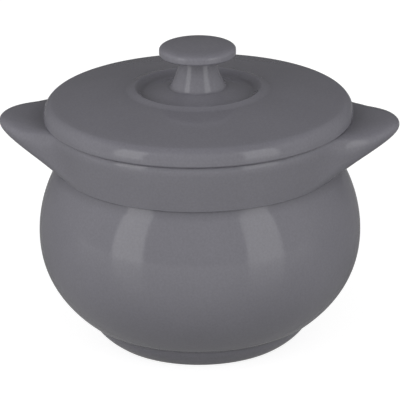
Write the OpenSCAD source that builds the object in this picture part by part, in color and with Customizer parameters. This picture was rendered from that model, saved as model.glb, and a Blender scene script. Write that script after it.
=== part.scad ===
// Lidded soup bowl in glazed stoneware.
// A round-bellied bowl on a low foot ring, with a flared collar drawn out into two lugs,
// and a loose domed lid with a mushroom knob standing in a shallow well.
// The origin is the middle of the foot ring's base, +Z is up, and the lugs lie along X.

/* [Belly] */
// Greatest outside diameter of the belly
belly_d = 115; // [108:1:122]
// Height of the belly's widest place above the table
belly_z = 39.1; // [36:0.1:43]
// Half-height of the belly's curve below its widest place
belly_low_h = 43.2; // [40:0.1:50]
// Half-height of the belly's curve above its widest place
belly_high_h = 51.3; // [46:0.1:60]
// Squareness of the lower curve, where 2 is an ellipse
belly_low_power = 2.1; // [2:0.05:2.4]
// Thickness of the bowl's wall
wall = 4.2; // [3:0.1:5.5]
// Height of the inside floor above the table
floor_z = 8.8; // [7:0.1:12]
// Squareness of the inside's lower curve, where 2 is an ellipse
inside_power = 2.9; // [2.4:0.1:3.6]

/* [Foot ring] */
// Diameter of the foot ring where it meets the table
foot_base_d = 66.8; // [60:0.2:72]
// How far the foot ring's upper edge stands in from the belly
foot_step = 0.9; // [0:0.1:2]
// Height of the foot ring
foot_h = 7.8; // [6:0.1:9]
// How far the foot ring's wall swells beyond its straight line
foot_swell = 2.3; // [0:0.1:4]
// Width of the foot ring's bare clay face
foot_face_w = 3.6; // [2.5:0.1:6]
// Depth of the hollow inside the foot ring
foot_hollow_h = 3.2; // [2:0.1:4]

/* [Collar] */
// Height of the rim, where the lid sits
rim_z = 81.7; // [76:0.1:90]
// Height of the collar band below the rim
collar_h = 17.2; // [13:0.1:20]
// How far the rim stands in from the belly's widest place
rim_inset = 3.5; // [0.5:0.1:6]
// How far the collar's lower edge stands out from the belly
collar_step = 0.9; // [0.5:0.1:2.5]
// Depth of the groove under the collar
groove_depth = 0.9; // [0.3:0.1:1.5]
// Rounding of the rim's outer edge
rim_round = 1.5; // [0.5:0.1:2]
// Rounding of the rim's inner edge
mouth_round = 0.8; // [0.3:0.1:1.2]

/* [Lugs] */
// How far the lugs' tips stand out past the rim
lug_reach = 16.9; // [12:0.1:22]
// Angle from a lug's middle at which its upper edge has come most of the way in to the rim
lug_spread_angle = 19.6; // [13:0.1:22]
// How squarely the upper edge comes in, where 2 is a bell curve
lug_power = 3.5; // [2.4:0.1:5]
// Angle from a lug's middle at which its lower edge has come most of the way in to the collar
lug_low_spread_angle = 19.3; // [15:0.1:24]
// How squarely the lower edge comes in, where 2 is a bell curve
lug_low_power = 2; // [1.7:0.1:3]
// How late the lower edge sinks on its way in, where 1 keeps it on a straight slope
lug_low_sweep_power = 0.8; // [0.5:0.02:1.2]
// Depth of the tip's lower edge below the rim
lug_tip_t = 3.4; // [2.4:0.1:6]
// Slope of a lug's top past the lid's edge, where it starts to round over
lug_rise_angle = 9.3; // [0:0.1:12]
// Height of a lug's lower edge above the collar's, where it runs out
lug_root_h = 1.3; // [1.2:0.1:4]
// Rounding of a lug's lower edge
lug_low_round = 3; // [1:0.1:4]

/* [Lid] */
// How far the lid's edge stands out past the rim
lid_overhang = 0.7; // [0:0.1:1.2]
// Height of the lid's upright edge up to where it starts to round over
lid_edge_h = 1.3; // [1:0.1:4]
// Width of the rounding of the lid's upper edge
lid_round = 3.6; // [2:0.1:5]
// Height of the rounding of the lid's upper edge
lid_round_h = 5.1; // [3:0.1:6]
// Slope of the lid's top where the rounding begins
lid_slope_angle = 10.5; // [6:0.5:14]
// Thickness of the lid
lid_t = 4.6; // [3.5:0.1:6]
// Rounding of the lid's lower edge
lid_low_round = 0.6; // [0.3:0.1:1.5]
// Depth of the locating flange below the rim
flange_h = 5; // [3:0.1:8]
// Width of the locating flange
flange_w = 3.6; // [2.5:0.1:5]
// Play between the flange and the mouth, measured at the flange's lower edge
flange_play = 1.2; // [0.6:0.1:2]

/* [Well and bead] */
// Radius of the well's floor around the knob
well_r = 19.2; // [16:0.1:22]
// Rise of the well's floor from its edge to the knob's foot
well_rise = 1.7; // [0:0.1:2.2]
// Radius of the bead's crest around the well
bead_r = 22.5; // [21:0.1:28]
// Width of the bead's outer slope
bead_w = 3.4; // [2:0.1:6]
// Height of the bead above the lid's dome
bead_h = 0.6; // [0.2:0.1:1.2]
// Depth of the well below the bead's crest
well_h = 1.7; // [0.8:0.1:2.4]

/* [Knob] */
// Diameter of the knob's cap
cap_d = 27; // [22:0.2:34]
// Thickness of the cap at its edge
cap_t = 3.3; // [2.6:0.1:5]
// Rise of the cap's crown above its edge
cap_rise = 1.1; // [0:0.1:2]
// How far in from its edge the cap's top is rounded
cap_round = 3.5; // [1:0.1:4.5]
// How far down from its edge the cap's top is rounded
cap_side_round = 1.4; // [0.4:0.1:1.4]
// Rounding of the cap's lower edge
cap_low_round = 1.2; // [0.4:0.1:1.5]
// Height of the knob above its seat
knob_h = 16; // [13:0.1:21]
// Diameter of the neck at its narrowest
neck_d = 13; // [10:0.1:15]
// Diameter of the neck's foot on the lid
neck_foot_d = 19.8; // [16:0.2:26]
// Height of the round between the neck and the cap
neck_round = 1.9; // [1:0.1:2.5]
// How sharply the neck flares towards its foot
neck_power = 1.5; // [1:0.1:2.4]

/* [Hidden] */

glaze = "#6b6b72";
$fn = 96;

// Steps along the long curves, the short rounds and the lugs' grid
curve_steps = 26;
round_steps = 6;
lug_angle_steps = 56;
lug_top_steps = 4;
// The most of a side that rounding its corner may take
side_share = 0.45;
// How much of a lug's reach and of its side the rounding of its upper edge takes
lug_round_share = 0.75;
// How far out a lug's lower edge has come, where that rounding is at its full size
lug_full_share = 0.4;
// Half the length over which a lug's level top bends into its rise, and the ledge round the knob's foot
lug_bend_w = 0.9;
seat_ledge_w = 0.7;

belly_r = belly_d / 2;
inside_r = belly_r - wall;
collar_z = rim_z - collar_h;
rim_r = belly_r - rim_inset;
foot_base_r = foot_base_d / 2;

// Radius of a swelling curve of greatest radius r and half-height h, at a distance dz from its widest place
function swell_r(r, h, power, dz) = r * pow(1 - pow(abs(dz) / h, power), 1 / power);

// Points of an oval from angle a0 to a1, about a centre
function oval(centre, width, height, a0, a1, steps = round_steps) =
    [for (i = [0:steps]) let (a = a0 + (a1 - a0) * i / steps) centre + [width * cos(a), height * sin(a)]];

// Points of a curve from p to q that is pulled towards the point c
function bend(p, c, q, steps = round_steps) =
    [for (i = [0:steps]) let (t = i / steps) (1 - t) * (1 - t) * p + 2 * t * (1 - t) * c + t * t * q];

// The corner at b rounded, cutting back a length d along each side, or less where a side is short
function corner(a, b, c, d, steps = round_steps) =
    let (cut = min(d, side_share * norm(a - b), side_share * norm(c - b)))
    bend(b + cut * (a - b) / norm(a - b), b, b + cut * (c - b) / norm(c - b), steps);

// A smooth step from 0 to 1
function ease(t) = let (u = max(0, min(1, t))) (1 - cos(180 * u)) / 2;

function belly_outer_r(z) =
    z < belly_z ? swell_r(belly_r, belly_low_h, belly_low_power, belly_z - z)
                : swell_r(belly_r, belly_high_h, 2, z - belly_z);

foot_top_r = belly_outer_r(foot_h) - foot_step;
collar_low_r = belly_outer_r(collar_z) + collar_step;

// The collar's outer face is a straight flare through its lower edge and the rim
function collar_r(z) = collar_low_r + (rim_r - collar_low_r) * (z - collar_z) / collar_h;

// The inside follows the belly one wall in, then the collar
inside_high_h = belly_high_h - wall / 5;
function inside_belly_r(z) = swell_r(inside_r, inside_high_h, 2, z - belly_z);
throat_z = collar_z - wall / 2;
throat_r = inside_belly_r(throat_z);
mouth_r = rim_r - (collar_low_r - throat_r);

function bowl_outline() = concat(
    // Hollow under the floor, and the foot ring's inner wall
    [[0, foot_hollow_h]],
    corner([0, foot_hollow_h],
           [foot_base_r - foot_face_w - foot_hollow_h / 2, foot_hollow_h],
           [foot_base_r - foot_face_w, 0], foot_hollow_h / 2),
    [[foot_base_r - foot_face_w, 0]],
    // Foot ring's swelling outer wall
    bend([foot_base_r, 0],
         [(foot_base_r + foot_top_r) / 2 + foot_swell, foot_h / 2],
         [foot_top_r, foot_h], 2 * round_steps),
    // Belly, from the foot to the groove under the collar
    [for (i = [0:curve_steps])
        let (z = foot_h + groove_depth / 2 + (collar_z - foot_h - groove_depth / 2) * i / curve_steps)
        [belly_outer_r(z) - (i == curve_steps ? groove_depth / 3 : 0), z]],
    // Collar, with its lower edge and the rim rounded
    corner([belly_outer_r(collar_z), collar_z + groove_depth / 3],
           [collar_r(collar_z + groove_depth / 3), collar_z + groove_depth / 3],
           [rim_r, rim_z], groove_depth / 2),
    corner([collar_low_r, collar_z], [rim_r, rim_z], [0, rim_z], rim_round),
    // Mouth, throat and the inside of the belly
    corner([rim_r, rim_z], [mouth_r, rim_z], [throat_r, throat_z], mouth_round),
    [for (i = [0:curve_steps]) let (z = throat_z + (belly_z - throat_z) * i / curve_steps)
        [inside_belly_r(z), z]],
    [for (i = [1:curve_steps]) let (a = 90 * i / curve_steps)
        [inside_r * pow(cos(a), 2 / inside_power),
         belly_z - (belly_z - floor_z) * pow(sin(a), 2 / inside_power)]]);

module bowl_body() {
    color(glaze) rotate_extrude() polygon(bowl_outline());
}

// A lug is a skin of sections, one for each angle. Each section runs from inside the collar,
// along the lug's sloping underside, round its lower and upper edges and back along its top.
// Its ends and its root are sunk into the collar and cut to the collar's face.
lug_tip_r = rim_r + lug_reach;
lug_sink = wall / 12;
lug_low_z = collar_z + groove_depth;
lug_edge_z = collar_z + lug_root_h;
lug_root_r = collar_r(lug_edge_z) - lug_sink;

// Share of its reach to which a lug's edge has come in at an angle from its middle
function lug_share(a, spread, power) = exp(-pow(abs(a) / spread, power));

// Angle at which an edge of a given reach has sunk halfway into the collar's face
function lug_end(spread, power, reach) = spread * pow(ln(2 * reach / lug_sink), 1 / power);
lug_end_angle = max(lug_end(lug_spread_angle, lug_power, lug_reach),
                    lug_end(lug_low_spread_angle, lug_low_power, lug_tip_r - lug_root_r));

// Height and slope of the lugs' top, level up to the lid's edge and then bending into a rise
function lug_bent(r) = max(0, min(r - rim_r - lid_overhang, 2 * lug_bend_w));
function lug_top_slope(r) = tan(lug_rise_angle) * lug_bent(r) / (2 * lug_bend_w);
function lug_top_z(r) = rim_z + lug_top_slope(r) * (lug_bent(r) / 2
    + max(0, r - rim_r - lid_overhang - 2 * lug_bend_w));

function lug_section(a) = let (
    high = lug_share(a, lug_spread_angle, lug_power),
    wide = lug_share(a, lug_low_spread_angle, lug_low_power),
    inner_low = [collar_r(lug_low_z) - wall, lug_low_z],
    start = [collar_r(lug_low_z) - lug_sink, lug_low_z],
    low = [lug_root_r + (lug_tip_r - lug_root_r) * wide,
           lug_edge_z + (rim_z - lug_tip_t - lug_edge_z) * pow(wide, lug_low_sweep_power)],
    top_r = rim_r - lug_sink + (lug_reach + lug_sink) * high,
    round_r = top_r - rim_round - lug_round_share * lug_reach * high,
    top = [top_r, lug_top_z(round_r) + lug_top_slope(round_r) * (top_r - round_r)],
    side = norm(low - top),
    leg = rim_round + (lug_round_share * side - rim_round) * ease(wide / lug_full_share),
    low_cut = min(lug_low_round, side_share * (side - leg) * 2, side_share * norm(low - start)),
    inner_r = rim_r - wall)
    concat([inner_low, start],
           bend(low + low_cut * (start - low) / norm(start - low), low, low + low_cut * (top - low) / side),
           bend(top + leg * (low - top) / side, top, [round_r, lug_top_z(round_r)], 2 * round_steps),
           [for (i = [1:lug_top_steps]) let (r = round_r + (inner_r - round_r) * i / lug_top_steps)
               [r, lug_top_z(r)]]);

lug_points_per_section = len(lug_section(0));

function lug_points() = [for (i = [0:lug_angle_steps])
    let (a = lug_end_angle * (2 * i / lug_angle_steps - 1))
    for (p = lug_section(a)) [p[0] * cos(a), p[0] * sin(a), p[1]]];

function lug_faces() = let (m = lug_points_per_section, last = lug_angle_steps * m) concat(
    [[for (j = [0:m - 1]) j]],
    [[for (j = [0:m - 1]) last + m - 1 - j]],
    [for (i = [0:lug_angle_steps - 1]) for (j = [0:m - 1])
        let (k = (j + 1) % m, p = i * m + j, q = i * m + k, r = p + m, t = q + m)
        each [[p, r, t], [p, t, q]]]);

// The collar's outer face, run past both its edges, which the lugs are cut to
module collar_core() {
    over = collar_h / 4;
    rotate_extrude() polygon([
        [0, collar_z - over], [collar_r(collar_z - over), collar_z - over],
        [collar_r(rim_z + over), rim_z + over], [0, rim_z + over]]);
}

module lug() {
    color(glaze) difference() {
        polyhedron(lug_points(), lug_faces());
        collar_core();
    }
}

module right_lug() { lug(); }
module left_lug() { rotate([0, 0, 180]) lug(); }

// Lid. Its top is a shallow dome that meets the rounded edge on one slope.
lid_r = rim_r + lid_overhang;
lid_side_z = rim_z + lid_edge_h;
lid_round_angle = atan(lid_round_h / lid_round / tan(lid_slope_angle));
dome_edge_r = lid_r - lid_round * (1 - cos(lid_round_angle));
dome_edge_z = lid_side_z + lid_round_h * sin(lid_round_angle);
dome_rise = dome_edge_r * tan(lid_slope_angle) / 2;
function dome_z(r) = dome_edge_z + dome_rise * (1 - pow(r / dome_edge_r, 2));
bead_z = dome_z(bead_r) + bead_h;
well_z = bead_z - well_h;
neck_foot_r = neck_foot_d / 2;
seat_r = neck_foot_r + seat_ledge_w;
seat_z = well_z + well_rise;

// A step from 0 to 1 that starts at once and levels out at its end
function level_out(t) = let (u = max(0, min(1, t))) u + u * u - u * u * u;

function lid_top_z(r) =
    r < well_r ? seat_z - well_rise * level_out((r - seat_r) / (well_r - seat_r))
    : r < bead_r ? well_z + well_h * ease((r - well_r) / (bead_r - well_r))
    : dome_z(r) + bead_h * (1 - ease((r - bead_r) / bead_w));

flange_z = rim_z - flange_h;
flange_low_r = throat_r + (mouth_r - throat_r) * (flange_z - throat_z) / (rim_z - throat_z) - flange_play;
flange_top_r = flange_low_r + flange_play / 4;
flange_in_r = flange_low_r - flange_w;
function lid_under_z(r) =
    min(dome_z(r) - lid_t, well_z - lid_t + (dome_z(bead_r) - well_z) * ease((r - well_r) / bead_w));

function lid_outline() = concat(
    // Top, from the knob's seat out over the well's floor and wall and the bead to the rounded edge
    [[0, seat_z]],
    [for (i = [0:round_steps - 1]) let (r = seat_r + (well_r - seat_r) * i / round_steps) [r, lid_top_z(r)]],
    [for (i = [0:round_steps]) let (r = well_r + (bead_r - well_r) * i / round_steps) [r, lid_top_z(r)]],
    [for (i = [1:round_steps]) let (r = bead_r + bead_w * i / round_steps) [r, lid_top_z(r)]],
    [for (i = [1:curve_steps]) let (r = bead_r + bead_w + (dome_edge_r - bead_r - bead_w) * i / curve_steps)
        [r, dome_z(r)]],
    oval([lid_r - lid_round, lid_side_z], lid_round, lid_round_h, lid_round_angle, 0, 2 * round_steps),
    // Lower edge, seat and locating flange
    corner([lid_r, lid_side_z], [lid_r, rim_z], [0, rim_z], lid_low_round),
    [[flange_top_r, rim_z]],
    corner([flange_top_r, rim_z], [flange_low_r, flange_z], [flange_in_r, flange_z], flange_w / 4),
    corner([flange_low_r, flange_z], [flange_in_r, flange_z], [flange_in_r, rim_z], flange_w / 4),
    // Underside, which follows the top one thickness below
    [for (i = [0:curve_steps]) let (r = flange_in_r * (1 - i / curve_steps)) [r, lid_under_z(r)]]);

module lid_plate() {
    color(glaze) rotate_extrude() polygon(lid_outline());
}

// Knob. It is luted to its seat in the middle of the well.
cap_r = cap_d / 2;
knob_top_z = seat_z + knob_h;
cap_edge_z = knob_top_z - cap_rise;
cap_low_z = cap_edge_z - cap_t;
neck_r = neck_d / 2;
neck_top_z = cap_low_z - neck_round;
cap_round_r = cap_r - cap_round;
cap_under_r = cap_r - cap_t / 2;

function crown_z(r) = knob_top_z - cap_rise * pow(r / cap_r, 2);
function crown_slope(r) = 2 * cap_rise * r / pow(cap_r, 2);

function knob_outline() = concat(
    [[0, seat_z]],
    // Neck, flaring to its foot
    [for (i = [0:curve_steps]) let (t = i / curve_steps)
        [neck_r + (neck_foot_r - neck_r) * pow(1 - t, neck_power), seat_z + (neck_top_z - seat_z) * t]],
    // Hollow round under the cap
    bend([neck_r, neck_top_z], [neck_r, cap_low_z], [cap_under_r, cap_low_z]),
    // Edge of the cap, and its crowned top
    corner([cap_under_r, cap_low_z], [cap_r, cap_low_z], [cap_r, cap_edge_z], cap_low_round),
    bend([cap_r, cap_edge_z - cap_side_round],
         [cap_r, crown_z(cap_round_r) - crown_slope(cap_round_r) * cap_round],
         [cap_round_r, crown_z(cap_round_r)], 2 * round_steps),
    [for (i = [1:round_steps]) let (r = cap_round_r * (1 - i / round_steps)) [r, crown_z(r)]]);

module lid_knob() {
    color(glaze) rotate_extrude() polygon(knob_outline());
}

bowl_body();
left_lug();
right_lug();
lid_plate();
lid_knob();
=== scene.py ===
import math

import bpy
import numpy as np
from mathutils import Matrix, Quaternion, Vector


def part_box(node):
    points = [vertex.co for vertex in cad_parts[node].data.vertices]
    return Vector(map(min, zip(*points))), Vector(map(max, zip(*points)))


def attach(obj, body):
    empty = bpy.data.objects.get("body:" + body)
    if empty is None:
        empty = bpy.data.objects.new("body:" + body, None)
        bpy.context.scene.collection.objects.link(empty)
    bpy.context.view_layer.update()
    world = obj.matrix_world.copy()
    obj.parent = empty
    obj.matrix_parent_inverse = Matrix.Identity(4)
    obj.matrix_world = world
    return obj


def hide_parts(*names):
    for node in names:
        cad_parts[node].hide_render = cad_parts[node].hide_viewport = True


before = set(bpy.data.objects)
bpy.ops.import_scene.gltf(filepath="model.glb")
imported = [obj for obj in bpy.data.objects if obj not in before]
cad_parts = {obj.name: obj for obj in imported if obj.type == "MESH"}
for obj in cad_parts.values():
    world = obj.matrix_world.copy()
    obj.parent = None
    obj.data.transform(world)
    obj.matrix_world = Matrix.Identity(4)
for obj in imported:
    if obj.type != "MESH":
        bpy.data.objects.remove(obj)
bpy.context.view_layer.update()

MM = 0.001


def box_mm(node):
    """Lowest and highest corner of a CAD node, in millimetres."""
    low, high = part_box(node)
    return low / MM, high / MM


# Sizes that the frame gives
bowl_high = box_mm("bowl_body")[1]
lid_high = box_mm("lid_plate")[1]
knob_high = box_mm("lid_knob")[1]
belly_r = bowl_high.x
rim_z = bowl_high.z
lug_tip_r = box_mm("right_lug")[1].x
lid_r = lid_high.x
cap_r = knob_high.x
knob_top_z = knob_high.z

# Belly: its widest place, and the lengths that set how fast it narrows above and below it
belly_z = 39.1
belly_high_h = 51.3
belly_cubic_h = 54.0
belly_quartic_h = 59.7
wall = 4.2
floor_z = 8.8
inside_power = 2.9

# Foot ring
foot_base_r = 33.4
foot_h = 7.8
foot_step = 0.9
foot_swell = 2.3
foot_face_w = 3.6
foot_hollow_h = 3.2
foot_edge_round = 0.5
foot_crease_round = 1.3
foot_crease_h = 1.6
belly_start_h = 3.0
foot_flat_gap = 1.0

# Collar and rim
collar_h = 17.2
collar_step = 0.9
rim_inset = 3.5
collar_edge_round = 0.9
groove_depth = 0.1
groove_round = 1.3
groove_h = 2.4
rim_round = 2.4
rim_side_round = 4.4
mouth_round = 1.0
throat_round = 2.5
throat_gap = 1.5

# Lugs: how wide their upper and lower edges fan out, in degrees, and how their sections run
lug_spread = 19.6
lug_power = 3.5
lug_low_spread = 19.3
lug_low_power = 2.0
lug_low_sweep = 0.8
lug_tip_t = 3.4
lug_rise_angle = math.radians(9.3)
lug_bend_w = 0.9
lug_root_h = 1.3
lug_top_round_share = 0.75
lug_side_round_share = 0.75
lug_low_round = 3.0
lug_low_round_share = 0.95
lug_full_share = 0.4

# Lid
lid_edge_h = 1.3
lid_round = 3.6
lid_round_h = 5.1
lid_slope = math.radians(10.5)
lid_t = 4.6
lid_low_round = 1.0
lid_low_round_h = 1.2
lid_under_round = 2.4
flange_h = 5.0
flange_w = 3.6
flange_play = 1.2
flange_root_round = 0.5
well_r = 19.2
bead_r = 22.5
bead_w = 3.4
bead_h = 0.6
well_h = 1.7
well_rise = 1.7
seat_r = 10.6

# Knob
cap_t = 3.3
cap_rise = 1.1
cap_round = 3.5
cap_side_round = 1.4
cap_low_round = 1.2
neck_r = 6.5
neck_foot_r = 9.9
neck_power = 1.5
neck_round = 1.9
neck_fillet = 0.8
neck_fillet_reach = 3.0
neck_fillet_drop = 0.6
knob_sink = 0.4

# The most of a side that rounding its corner may take
corner_share = 0.46

# How many outlines go round each piece, and how often the pooling of the glaze is smoothed
bowl_sides = 360
lid_sides = 300
knob_sides = 200
pool_passes = 3

rim_r = belly_r - rim_inset
collar_z = rim_z - collar_h


def line(a, b, count):
    """Points from a to b, without b."""
    t = np.arange(count)[:, None] / count
    return (1 - t) * np.array(a, float) + t * np.array(b, float)


def bend(p, c, q, count):
    """Points of a curve from p to q that is pulled towards c, with both ends."""
    p, c, q = (np.array(v, float) for v in (p, c, q))
    t = np.linspace(0, 1, count)[:, None]
    return (1 - t) ** 2 * p + 2 * t * (1 - t) * c + t ** 2 * q


def corner(a, b, c, cut, count=9):
    """The corner at b rounded, cutting back a length along each side, or less where a side is short."""
    a, b, c = (np.array(v, float) for v in (a, b, c))
    side_a, side_c = np.linalg.norm(a - b), np.linalg.norm(c - b)
    cut = min(cut, corner_share * side_a, corner_share * side_c)
    return bend(b + (a - b) * cut / side_a, b, b + (c - b) * cut / side_c, count)


def smooth(t):
    """From 0 to 1, level at both ends."""
    t = np.clip(t, 0, 1)
    return t * t * (3 - 2 * t)


def smooth_start(t):
    """From 0 to 1, straight at first and levelling out at the end."""
    t = np.clip(t, 0, 1)
    return t * (1 + t - t * t)


def belly_outer_r(z):
    d = abs(z - belly_z)
    share = 1 - (d / belly_high_h) ** 2
    if z < belly_z:
        share += (d / belly_quartic_h) ** 4 - (d / belly_cubic_h) ** 3
    return belly_r * math.sqrt(share)


collar_low_r = belly_outer_r(collar_z) + collar_step
foot_top_r = belly_outer_r(foot_h) - foot_step


def collar_r(z):
    return collar_low_r + (rim_r - collar_low_r) * (z - collar_z) / collar_h


inside_r = belly_r - wall
inside_high_h = belly_high_h - wall / 5
throat_z = collar_z - wall / 2
throat_r = inside_r * math.sqrt(1 - ((throat_z - belly_z) / inside_high_h) ** 2)
mouth_r = rim_r - (collar_low_r - throat_r)


def below_collar():
    """Outline from the middle of the underside, over the foot ring and the belly, to the groove."""
    hollow_r = foot_base_r - foot_face_w - foot_hollow_h / 2
    face_in = (foot_base_r - foot_face_w, 0)
    face_out = (foot_base_r, 0)
    wall_pull = ((foot_base_r + foot_top_r) / 2 + foot_swell, foot_h / 2)
    foot_wall = bend(face_out, wall_pull, (foot_top_r, foot_h), 15)
    crease_end_z = foot_h + foot_crease_h
    belly_low = (belly_outer_r(crease_end_z), crease_end_z)
    z_values = np.linspace(foot_h + belly_start_h, collar_z - groove_h, 66)
    belly = np.array([(belly_outer_r(z), z) for z in z_values])
    groove = (belly_outer_r(collar_z) - groove_depth, collar_z - groove_depth)
    lip = (collar_low_r, collar_z)
    return np.vstack([
        line((0, foot_hollow_h), (hollow_r - 2 * foot_flat_gap, foot_hollow_h), 8),
        corner((0, foot_hollow_h), (hollow_r, foot_hollow_h), face_in, foot_hollow_h / 2),
        corner((hollow_r, foot_hollow_h), face_in, face_out, foot_edge_round, 6),
        line((face_in[0] + foot_flat_gap, 0), (face_out[0] - foot_flat_gap, 0), 3),
        corner(face_in, face_out, foot_wall[3], foot_edge_round, 6),
        foot_wall[2:13],
        corner(foot_wall[12], (foot_top_r, foot_h), belly_low, foot_crease_round),
        [belly_low],
        belly,
        corner(belly[-1], groove, lip, groove_round),
    ])


def lug_shares(angle):
    """How far the collar's upper and lower edges are drawn out at an angle in degrees, from 0 to 1."""
    off = min(abs(angle), abs(angle - 180), abs(angle - 360))
    top_share = math.exp(-((off / lug_spread) ** lug_power))
    low_share = math.exp(-((off / lug_low_spread) ** lug_low_power))
    return top_share, low_share


def lug_top(r):
    """Height and slope of the lugs' top, which is level up to the lid's edge and then bends into a rise."""
    bent = min(max(r - lid_r, 0), 2 * lug_bend_w)
    slope = math.tan(lug_rise_angle) * bent / (2 * lug_bend_w)
    return rim_z + slope * bent / 2 + slope * max(r - lid_r - 2 * lug_bend_w, 0), slope


def collar_section(angle):
    """Outline of the collar at an angle, from its lower edge to the rim, drawn out where a lug is."""
    top_share, low_share = lug_shares(angle)
    lip = np.array([collar_low_r, collar_z])
    groove = np.array([belly_outer_r(collar_z) - groove_depth, collar_z - groove_depth])
    root_z = collar_z + lug_root_h
    low = np.array([
        collar_r(root_z) + (lug_tip_r - collar_r(root_z)) * low_share,
        root_z + (rim_z - lug_tip_t - root_z) * low_share ** lug_low_sweep])
    top_r = rim_r + (lug_tip_r - rim_r) * top_share
    round_r = top_r - rim_round - lug_top_round_share * (top_r - rim_r)
    round_z, slope = lug_top(round_r)
    top = np.array([top_r, round_z + slope * (top_r - round_r)])
    side = np.linalg.norm(low - top)
    lug_leg = lug_side_round_share * side
    leg = rim_side_round + (lug_leg - rim_side_round) * smooth(low_share / lug_full_share)
    back = np.linalg.norm(lip - low)
    low_cut = min(lug_low_round, lug_low_round_share * (side - leg), corner_share * back)
    low_round = bend(low + (lip - low) * low_cut / back, low, low + (top - low) * low_cut / side, 13)
    top_round = bend(top + (low - top) * leg / side, top, (round_r, round_z), 17)
    lip_round = corner(groove, lip, low, collar_edge_round, 7)
    rim = np.array([(r, lug_top(r)[0]) for r in np.linspace(round_r, mouth_r + mouth_round, 14)[1:]])
    return np.vstack([
        lip_round,
        line(lip_round[-1], low_round[0], 9)[1:],
        low_round,
        line(low_round[-1], top_round[0], 9)[1:],
        top_round,
        rim,
    ])


def inside_outline():
    """Outline from the rim's inner edge down the inside to the middle of the floor."""
    z_values = np.linspace(throat_z - throat_gap, belly_z, 24)
    upper = np.array([
        (inside_r * math.sqrt(1 - ((z - belly_z) / inside_high_h) ** 2), z) for z in z_values])
    angles = np.radians(np.linspace(0, 90, 37)[1:])
    depth = belly_z - floor_z
    lower = np.stack([
        inside_r * np.maximum(np.cos(angles), 0) ** (2 / inside_power),
        belly_z - depth * np.sin(angles) ** (2 / inside_power)], axis=1)
    lower[-1, 0] = 0
    mouth_edge = corner((rim_r, rim_z), (mouth_r, rim_z), (throat_r, throat_z), mouth_round)
    throat = corner((mouth_r, rim_z), (throat_r, throat_z), upper[0], throat_round, 7)
    return np.vstack([
        mouth_edge,
        line(mouth_edge[-1], throat[0], 10)[1:],
        throat,
        upper,
        lower,
    ])


def pooling(outline):
    """How the outline curves at each of its points: above 0 in hollows, below 0 on edges."""
    step = np.diff(outline, axis=0)
    length = np.maximum(np.linalg.norm(step, axis=1), 1e-6)
    turn = step[:-1, 0] * step[1:, 1] - step[:-1, 1] * step[1:, 0]
    turn = np.arcsin(np.clip(turn / (length[:-1] * length[1:]), -1, 1))
    bent = np.zeros(len(outline))
    bent[1:-1] = -turn / ((length[:-1] + length[1:]) / 2)
    for _ in range(pool_passes):
        bent[1:-1] = (bent[:-2] + 2 * bent[1:-1] + bent[2:]) / 4
    return np.clip(bent, -1, 1)


def revolve(name, outlines, angles):
    """A closed mesh from one outline per angle. Each outline starts and ends on the axis."""
    count, size = len(angles), len(outlines[0])
    angles = np.radians(angles)
    rings = np.array(outlines)[:, 1:-1]
    flat = size - 2
    x = rings[:, :, 0] * np.cos(angles)[:, None]
    y = rings[:, :, 0] * np.sin(angles)[:, None]
    points = np.stack([x, y, rings[:, :, 1]], axis=2).reshape(-1, 3)
    first = (0, 0, outlines[0][0][1])
    last = (0, 0, outlines[0][-1][1])
    points = np.vstack([points, [first, last]]) * MM
    start, end = count * flat, count * flat + 1
    faces = []
    for i in range(count):
        k = (i + 1) % count
        faces.append((start, k * flat, i * flat))
        for j in range(flat - 1):
            faces.append((i * flat + j, k * flat + j, k * flat + j + 1, i * flat + j + 1))
        faces.append((end, i * flat + flat - 1, k * flat + flat - 1))
    mesh = bpy.data.meshes.new(name)
    mesh.from_pydata(points.tolist(), [], faces)
    mesh.polygons.foreach_set("use_smooth", [True] * len(faces))
    pools = np.array([pooling(o)[1:-1] for o in outlines]).ravel()
    attribute = mesh.attributes.new("glaze_pool", "FLOAT", "POINT")
    attribute.data.foreach_set("value", np.append(pools, [0, 0]).astype(np.float32))
    mesh.update()
    piece = bpy.data.objects.new(name, mesh)
    bpy.context.scene.collection.objects.link(piece)
    return piece


def make_bowl():
    angles = np.linspace(0, 360, bowl_sides, endpoint=False)
    below, inside = below_collar(), inside_outline()
    outlines = [np.vstack([below, collar_section(a), inside]) for a in angles]
    return revolve("glazed_bowl", outlines, angles)


# The lid's top is a shallow dome that meets the rounded edge on one slope
lid_side_z = rim_z + lid_edge_h
lid_round_end = math.atan(lid_round_h / lid_round / math.tan(lid_slope))
dome_edge_r = lid_r - lid_round * (1 - math.cos(lid_round_end))
dome_edge_z = lid_side_z + lid_round_h * math.sin(lid_round_end)
dome_rise = dome_edge_r * math.tan(lid_slope) / 2


def dome_z(r):
    return dome_edge_z + dome_rise * (1 - (r / dome_edge_r) ** 2)


bead_z = dome_z(bead_r) + bead_h
well_z = bead_z - well_h
seat_z = well_z + well_rise


def lid_top_z(r):
    """Height of the lid's top: knob's seat, the well's sloping floor and wall, bead and dome."""
    if r < well_r:
        return seat_z - well_rise * smooth_start((r - seat_r) / (well_r - seat_r))
    if r < bead_r:
        return well_z + well_h * smooth((r - well_r) / (bead_r - well_r))
    return dome_z(r) + bead_h * (1 - smooth((r - bead_r) / bead_w))


def lid_under_z(r):
    step = (dome_z(bead_r) - well_z) * smooth((r - well_r) / bead_w)
    return min(dome_z(r) - lid_t, well_z - lid_t + step)


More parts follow.
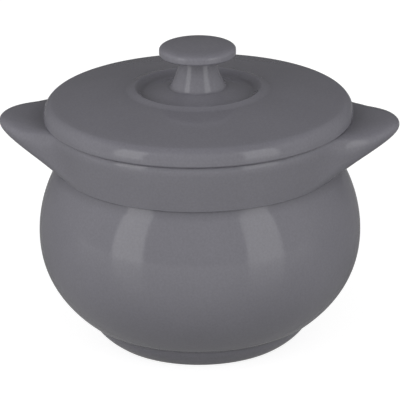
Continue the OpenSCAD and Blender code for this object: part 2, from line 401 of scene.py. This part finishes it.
def lid_outline():
    """Outline of the lid from the middle of its underside, over flange and edge, to the knob's seat."""
    flange_z = rim_z - flange_h
    flange_share = (flange_z - throat_z) / (rim_z - throat_z)
    flange_low_r = throat_r + (mouth_r - throat_r) * flange_share - flange_play
    flange_top = (flange_low_r + flange_play / 4, rim_z)
    flange_low = (flange_low_r, flange_z)
    flange_in_r = flange_low_r - flange_w
    flange_in = (flange_in_r, flange_z)
    under_z = lid_under_z(flange_in_r)
    under_corner = (flange_in_r, under_z)
    under_r = np.linspace(0, flange_in_r - lid_under_round, 40)
    under = np.array([(r, lid_under_z(r)) for r in under_r])
    side_low = (lid_r, rim_z)
    edge_angles = np.linspace(0, lid_round_end, 19)
    edge = np.stack([
        lid_r - lid_round + lid_round * np.cos(edge_angles),
        lid_side_z + lid_round_h * np.sin(edge_angles)], axis=1)
    dome = np.array([(r, dome_z(r)) for r in np.linspace(dome_edge_r, bead_r + bead_w, 30)[1:]])
    bead = np.array([(r, lid_top_z(r)) for r in np.linspace(bead_r + bead_w, well_r, 35)[1:]])
    floor = np.array([(r, lid_top_z(r)) for r in np.linspace(well_r, seat_r, 25)[1:]])
    low_round = bend((lid_r - lid_low_round, rim_z), side_low, (lid_r, rim_z + lid_low_round_h), 9)
    return np.vstack([
        under,
        corner(under[-1], under_corner, flange_in, lid_under_round, 7),
        corner(under_corner, flange_in, flange_low, flange_w / 4, 6),
        corner(flange_in, flange_low, flange_top, flange_w / 4, 6),
        corner(flange_low, flange_top, side_low, flange_root_round, 4),
        low_round,
        line(low_round[-1], edge[0], 4)[1:],
        edge,
        dome,
        bead,
        floor,
        line((seat_r, seat_z), (0, seat_z), 8)[1:],
        [(0, seat_z)],
    ])


def make_lid():
    angles = np.linspace(0, 360, lid_sides, endpoint=False)
    return revolve("glazed_lid", [lid_outline()] * len(angles), angles)


def crown_z(r):
    return knob_top_z - cap_rise * (r / cap_r) ** 2


def knob_outline():
    """Outline of the knob: its neck, the hollow round under the cap, the cap's edge and its crown."""
    cap_edge_z = knob_top_z - cap_rise
    cap_low_z = cap_edge_z - cap_t
    neck_top_z = cap_low_z - neck_round
    t = np.linspace(0, 1, 30)
    neck = np.stack([
        neck_r + (neck_foot_r - neck_r) * (1 - t) ** neck_power,
        seat_z + (neck_top_z - seat_z) * t], axis=1)
    round_r = cap_r - cap_round
    crown = np.array([(r, crown_z(r)) for r in np.linspace(round_r, 0, 15)])
    edge_pull_z = crown_z(round_r) - 2 * cap_rise * round_r * cap_round / cap_r ** 2
    under = (cap_r - cap_t / 2, cap_low_z)
    return np.vstack([
        [(0, seat_z - knob_sink)],
        [(neck_foot_r + neck_fillet, seat_z - knob_sink)],
        corner((neck_foot_r + neck_fillet_reach, seat_z - neck_fillet_drop), neck[0], neck[4], neck_fillet),
        neck[3:],
        bend(neck[-1], (neck_r, cap_low_z), under, 14)[1:],
        corner(under, (cap_r, cap_low_z), (cap_r, cap_edge_z), cap_low_round),
        bend((cap_r, cap_edge_z - cap_side_round), (cap_r, edge_pull_z), crown[0], 16),
        crown[1:],
    ])


def make_knob():
    angles = np.linspace(0, 360, knob_sides, endpoint=False)
    return revolve("glazed_knob", [knob_outline()] * len(angles), angles)


# Finishes: the plain colours, and the patterns on them. Each pattern is given by its scale and by the
# least and the most that it sets.
glaze_rgb = (0.2, 0.196, 0.222)
glaze_clouds = (40, 0.975, 1.025)
glaze_specks = (1400, 0.95, 1.05)
glaze_gloss = (90, 0.08, 0.12)
glaze_ior = 1.5
clay_rgb = (0.42, 0.38, 0.33)
clay_clouds = (120, 0.86, 1.08)
clay_grit = (2200, 0.82, 1.1)
clay_roughness = (700, 0.78, 0.92)

# Glaze is darker where it pools in a hollow and lighter where it thins over an edge
pool_range = 0.6
edge_shade = 1.08
hollow_shade = 0.86

# Bumps, each by its scale and its height in metres
peel_scale, peel_height = 260, 0.000015
grain_scale, grain_height = 2600, 0.000003
clay_bump_scale, clay_bump_height = 1800, 0.00008

# Bare clay, in mm: how near its plane the centre of a face lies, how far past the foot ring's edge it
# may lie, and the radius beyond which a low face is the flange's
bare_gap = 0.12
bare_edge = 0.3
flange_least_r = 40


def shader(name):
    """A new material and its node tree, empty but for the surface shader and the output."""
    material = bpy.data.materials.new(name)
    material.use_nodes = True
    nodes, links = material.node_tree.nodes, material.node_tree.links
    return material, nodes, links, nodes["Principled BSDF"]


def noise(nodes, links, coordinates, scale, detail=2.0):
    node = nodes.new("ShaderNodeTexNoise")
    node.inputs["Scale"].default_value = scale
    node.inputs["Detail"].default_value = detail
    links.new(coordinates, node.inputs["Vector"])
    return node.outputs["Fac"]


def ranged(nodes, links, value, low_in, high_in, low_out, high_out):
    """A value between low_in and high_in, stretched to run from low_out to high_out."""
    node = nodes.new("ShaderNodeMapRange")
    node.inputs["From Min"].default_value = low_in
    node.inputs["From Max"].default_value = high_in
    node.inputs["To Min"].default_value = low_out
    node.inputs["To Max"].default_value = high_out
    links.new(value, node.inputs["Value"])
    return node.outputs["Result"]


def pattern(nodes, links, coordinates, scale, least, most, detail=2.0, edge=0.3):
    """Noise that runs from least to most. A larger edge makes it harder."""
    value = noise(nodes, links, coordinates, scale, detail)
    return ranged(nodes, links, value, edge, 1 - edge, least, most)


def product(nodes, links, a, b):
    node = nodes.new("ShaderNodeMath")
    node.operation = "MULTIPLY"
    links.new(a, node.inputs[0])
    links.new(b, node.inputs[1])
    return node.outputs[0]


def tinted(nodes, links, rgb, factor):
    """The colour rgb made lighter or darker by a factor."""
    node = nodes.new("ShaderNodeMix")
    node.data_type = "RGBA"
    node.blend_type = "MULTIPLY"
    node.inputs["Factor"].default_value = 1
    node.inputs["A"].default_value = (*rgb, 1)
    links.new(factor, node.inputs["B"])
    return node.outputs["Result"]


def bumped(nodes, links, height, distance, normal=None):
    node = nodes.new("ShaderNodeBump")
    node.inputs["Distance"].default_value = distance
    links.new(height, node.inputs["Height"])
    if normal:
        links.new(normal, node.inputs["Normal"])
    return node.outputs["Normal"]


def make_glaze():
    """Grey glaze: smooth and glossy, darker where it pools and lighter where it thins over an edge."""
    material, nodes, links, surface = shader("grey_glaze")
    place = nodes.new("ShaderNodeTexCoord").outputs["Object"]
    pool = nodes.new("ShaderNodeAttribute")
    pool.attribute_name = "glaze_pool"
    clouds = pattern(nodes, links, place, *glaze_clouds)
    specks = pattern(nodes, links, place, *glaze_specks)
    pooled = ranged(nodes, links, pool.outputs["Fac"], -pool_range, pool_range, edge_shade, hollow_shade)
    shade = product(nodes, links, product(nodes, links, clouds, specks), pooled)
    links.new(tinted(nodes, links, glaze_rgb, shade), surface.inputs["Base Color"])
    links.new(pattern(nodes, links, place, *glaze_gloss), surface.inputs["Roughness"])
    peel = bumped(nodes, links, noise(nodes, links, place, peel_scale), peel_height)
    grain = bumped(nodes, links, noise(nodes, links, place, grain_scale), grain_height, peel)
    links.new(grain, surface.inputs["Normal"])
    surface.inputs["IOR"].default_value = glaze_ior
    return material


def make_clay():
    """Bare fired clay, where the foot ring and the lid's flange are wiped free of glaze."""
    material, nodes, links, surface = shader("bare_clay")
    place = nodes.new("ShaderNodeTexCoord").outputs["Object"]
    clouds = pattern(nodes, links, place, *clay_clouds)
    grit = pattern(nodes, links, place, *clay_grit, detail=4, edge=0.35)
    shade = product(nodes, links, clouds, grit)
    links.new(tinted(nodes, links, clay_rgb, shade), surface.inputs["Base Color"])
    links.new(pattern(nodes, links, place, *clay_roughness), surface.inputs["Roughness"])
    grain = bumped(nodes, links, noise(nodes, links, place, clay_bump_scale, 5), clay_bump_height)
    links.new(grain, surface.inputs["Normal"])
    return material


def finish_piece(piece, body, nodes, bare=None):
    """Gives a piece its finishes and its body. Where a function bare is given, it says from the radius and
    the height of a face's centre, in mm, whether the clay is bare there."""
    piece.data.materials.append(glaze)
    if bare:
        piece.data.materials.append(clay)
        for face in piece.data.polygons:
            if bare(math.hypot(face.center.x, face.center.y) / MM, face.center.z / MM):
                face.material_index = 1
    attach(piece, body)
    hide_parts(*nodes)


def foot_face(r, z):
    return z < bare_gap and foot_base_r - foot_face_w < r < foot_base_r + bare_edge


def flange_face(r, z):
    return z < rim_z - flange_h + bare_gap and r > flange_least_r


# Camera: where the photograph was taken from, and how its frame lies on the bowl
view_turn = math.radians(4.85)
view_height = math.radians(21.72)
view_distance = 936.0
target_z = 36.7
focal_px = 2603.0
frame_px = 400.0
target_drop_px = 33.4
view_roll = math.radians(0.78)
sensor_w = 36.0


def make_camera():
    data = bpy.data.cameras.new("camera")
    data.sensor_width = sensor_w
    data.lens = data.sensor_width * focal_px / frame_px
    data.clip_start, data.clip_end = 0.01, 20
    camera = bpy.data.objects.new("camera", data)
    bpy.context.scene.collection.objects.link(camera)
    back = Vector((
        math.sin(view_turn) * math.cos(view_height),
        -math.cos(view_turn) * math.cos(view_height),
        math.sin(view_height)))
    camera.location = (Vector((0, 0, target_z)) + back * view_distance) * MM
    tilt = math.atan(target_drop_px / focal_px)
    camera.rotation_mode = "QUATERNION"
    camera.rotation_quaternion = (
        (-back).to_track_quat("-Z", "Y")
        @ Quaternion((0, 0, 1), -view_roll)
        @ Quaternion((1, 0, 0), tilt))
    bpy.context.scene.camera = camera


# Studio. Each glow of the tent is given by its azimuth from the front, positive to the right, its height
# above the horizon and its spread, all in degrees, and its radiance. The glows light the object.
tent_r = 1.6
tent_rings = 24
tent_sides = 48
glows = {
    "front": (0, 20, 35, 0.44),
    "front_high": (0, 64, 35, 0.25),
    "left": (-50, 15, 35, 1.34),
    "right": (50, 15, 35, 0.75),
    "left_side": (-100, 12, 35, 0.92),
    "right_side": (100, 12, 35, 1.28),
    "back": (180, 6, 45, 0.42),
}

# What the glaze mirrors of the tent is an even sheet instead, at one radiance in front and a weaker one
# at the back. It fades from front to back and towards the top, between these shares of the radius.
tent_reflected = 0.6
tent_back_reflected = 0.09
tent_back_fade = (-0.1, 0.8)
tent_top_fade = (0.6, 0.85)

# The floor: its plain colour, how white the camera sees it, and the light that the glaze mirrors of it
# in front of the bowl, which fades out between these two places along Y, in metres.
floor_half = 4.0
floor_rgb = (0.4, 0.4, 0.4)
floor_roughness = 0.22
floor_white = 0.84
floor_reflected = 0.42
sheet_edge = (-0.13, 0.03)

# Soft boxes, each by its azimuth from the front, the heights of its lower and upper edge above the
# horizon and half its width, all in degrees as seen from the belly, its distance and its radiance.
softboxes = {
    "left_softbox": (-45.8, -15, 39, 11.4, 1.0, 1.4),
    "right_softbox": (50, -15, 39, 12.9, 1.0, 1.22),
}


def softbox(name, azimuth, low, high, half_width, distance, radiance):
    """An upright rectangle of light that faces the bowl."""
    light = bpy.data.lights.new(name, "AREA")
    light.shape = "RECTANGLE"
    bottom, top = (distance * math.tan(math.radians(a)) for a in (low, high))
    light.size = 2 * distance * math.tan(math.radians(half_width))
    light.size_y = top - bottom
    light.energy = radiance * math.pi * light.size * light.size_y
    lamp = bpy.data.objects.new(name, light)
    bpy.context.scene.collection.objects.link(lamp)
    a = math.radians(azimuth)
    out = Vector((math.sin(a), -math.cos(a), 0))
    lamp.location = out * distance + Vector((0, 0, belly_z * MM + (bottom + top) / 2))
    lamp.rotation_mode = "QUATERNION"
    lamp.rotation_quaternion = out.to_track_quat("Z", "Y")
    return lamp


def light_path(nodes, links, *rays):
    """1 for rays of the named kinds and 0 for all others."""
    path = nodes.new("ShaderNodeLightPath")
    total = path.outputs[rays[0]]
    for ray in rays[1:]:
        add = nodes.new("ShaderNodeMath")
        add.operation = "MAXIMUM"
        links.new(total, add.inputs[0])
        links.new(path.outputs[ray], add.inputs[1])
        total = add.outputs[0]
    return total


def make_world():
    """A plain white backdrop. The tent stands between it and the bowl, so it lights nothing."""
    world = bpy.data.worlds.new("backdrop")
    bpy.context.scene.world = world
    world.use_nodes = True
    nodes, links = world.node_tree.nodes, world.node_tree.links
    nodes.clear()
    white = nodes.new("ShaderNodeBackground")
    white.inputs["Color"].default_value = (1, 1, 1, 1)
    seen = light_path(nodes, links, "Is Camera Ray", "Is Glossy Ray", "Is Transmission Ray")
    links.new(seen, white.inputs["Strength"])
    links.new(white.outputs[0], nodes.new("ShaderNodeOutputWorld").inputs["Surface"])


def glow_strength(nodes, links, direction, azimuth, height, spread, radiance):
    """Light of one soft patch of the tent: full in its middle and fading out over its spread."""
    a, h = math.radians(azimuth), math.radians(height)
    sharpness = 2 / math.radians(spread) ** 2
    facing = nodes.new("ShaderNodeVectorMath")
    facing.operation = "DOT_PRODUCT"
    links.new(direction, facing.inputs[0])
    facing.inputs[1].default_value = (math.sin(a) * math.cos(h), -math.cos(a) * math.cos(h), math.sin(h))
    fade = nodes.new("ShaderNodeMath")
    fade.operation = "MULTIPLY_ADD"
    links.new(facing.outputs["Value"], fade.inputs[0])
    fade.inputs[1].default_value = sharpness
    fade.inputs[2].default_value = -sharpness
    bell = nodes.new("ShaderNodeMath")
    bell.operation = "EXPONENT"
    links.new(fade.outputs[0], bell.inputs[0])
    scaled = nodes.new("ShaderNodeMath")
    scaled.operation = "MULTIPLY"
    links.new(bell.outputs[0], scaled.inputs[0])
    scaled.inputs[1].default_value = radiance
    return scaled


def make_tent():
    """A round tent of soft light about the bowl, unseen by the camera. Its glows light the object, and
    the glaze mirrors an even sheet in their place."""
    points = [(0, 0, -tent_r)]
    for i in range(1, tent_rings):
        h = math.pi * i / tent_rings - math.pi / 2
        ring_r, z = tent_r * math.cos(h), tent_r * math.sin(h)
        for j in range(tent_sides):
            a = 2 * math.pi * j / tent_sides
            points.append((ring_r * math.cos(a), ring_r * math.sin(a), z))
    points.append((0, 0, tent_r))
    top = len(points) - 1
    faces = []
    for j in range(tent_sides):
        k = (j + 1) % tent_sides
        faces.append((0, 1 + j, 1 + k))
        faces.append((top, top - tent_sides + k, top - tent_sides + j))
        for i in range(tent_rings - 2):
            low, high = 1 + i * tent_sides, 1 + (i + 1) * tent_sides
            faces.append((low + j, high + j, high + k, low + k))
    mesh = bpy.data.meshes.new("light_tent")
    mesh.from_pydata(points, [], faces)
    tent = bpy.data.objects.new("light_tent", mesh)
    tent.location = (0, 0, belly_z * MM)
    bpy.context.scene.collection.objects.link(tent)
    material, nodes, links, surface = shader("tent_light")
    nodes.remove(surface)
    direction = nodes.new("ShaderNodeVectorMath")
    direction.operation = "NORMALIZE"
    links.new(nodes.new("ShaderNodeTexCoord").outputs["Object"], direction.inputs[0])
    total = None
    for name, glow in glows.items():
        strength = glow_strength(nodes, links, direction.outputs[0], *glow)
        strength.name = name
        if total:
            add = nodes.new("ShaderNodeMath")
            links.new(total, add.inputs[0])
            links.new(strength.outputs[0], add.inputs[1])
            total = add.outputs[0]
        else:
            total = strength.outputs[0]
    side = nodes.new("ShaderNodeSeparateXYZ")
    links.new(direction.outputs[0], side.inputs[0])
    mirrored = nodes.new("ShaderNodeMix")
    links.new(light_path(nodes, links, "Is Glossy Ray"), mirrored.inputs["Factor"])
    links.new(total, mirrored.inputs["A"])
    to_back = ranged(nodes, links, side.outputs["Y"], *tent_back_fade, tent_reflected, tent_back_reflected)
    to_top = ranged(nodes, links, side.outputs["Z"], *tent_top_fade, 1, 0)
    sheet = product(nodes, links, to_back, to_top)
    links.new(sheet, mirrored.inputs["B"])
    light = nodes.new("ShaderNodeEmission")
    links.new(mirrored.outputs["Result"], light.inputs["Strength"])
    links.new(light.outputs[0], nodes["Material Output"].inputs["Surface"])
    mesh.materials.append(material)
    tent.visible_camera = False
    tent.visible_shadow = False


def make_floor():
    """A pale floor. To the camera it shines white but for the bowl's soft shadow, and the glaze mirrors
    a sheet of light on it in front of the bowl."""
    corners = [(-1, -1), (1, -1), (1, 1), (-1, 1)]
    mesh = bpy.data.meshes.new("floor")
    mesh.from_pydata([(x * floor_half, y * floor_half, 0) for x, y in corners], [], [(0, 1, 2, 3)])
    floor = bpy.data.objects.new("floor", mesh)
    bpy.context.scene.collection.objects.link(floor)
    material, nodes, links, surface = shader("floor_white")
    surface.inputs["Base Color"].default_value = (*floor_rgb, 1)
    surface.inputs["Roughness"].default_value = floor_roughness
    seen = light_path(nodes, links, "Is Camera Ray", "Is Transmission Ray")
    place = nodes.new("ShaderNodeSeparateXYZ")
    links.new(nodes.new("ShaderNodeTexCoord").outputs["Object"], place.inputs[0])
    sheet = ranged(nodes, links, place.outputs["Y"], *sheet_edge, floor_reflected, 0)
    total = nodes.new("ShaderNodeMath")
    links.new(ranged(nodes, links, seen, 0, 1, 0, floor_white), total.inputs[0])
    links.new(product(nodes, links, light_path(nodes, links, "Is Glossy Ray"), sheet), total.inputs[1])
    glow = nodes.new("ShaderNodeEmission")
    links.new(total.outputs[0], glow.inputs["Strength"])
    both = nodes.new("ShaderNodeAddShader")
    links.new(surface.outputs[0], both.inputs[0])
    links.new(glow.outputs[0], both.inputs[1])
    links.new(both.outputs[0], nodes["Material Output"].inputs["Surface"])
    mesh.materials.append(material)


make_camera()
glaze, clay = make_glaze(), make_clay()
finish_piece(make_bowl(), "bowl", ["bowl_body", "left_lug", "right_lug"], foot_face)
finish_piece(make_lid(), "lid", ["lid_plate"], flange_face)
finish_piece(make_knob(), "lid", ["lid_knob"])
make_world()
make_tent()
make_floor()
for name, box in softboxes.items():
    softbox(name, *box)
bpy.context.scene.view_settings.view_transform = "Standard"
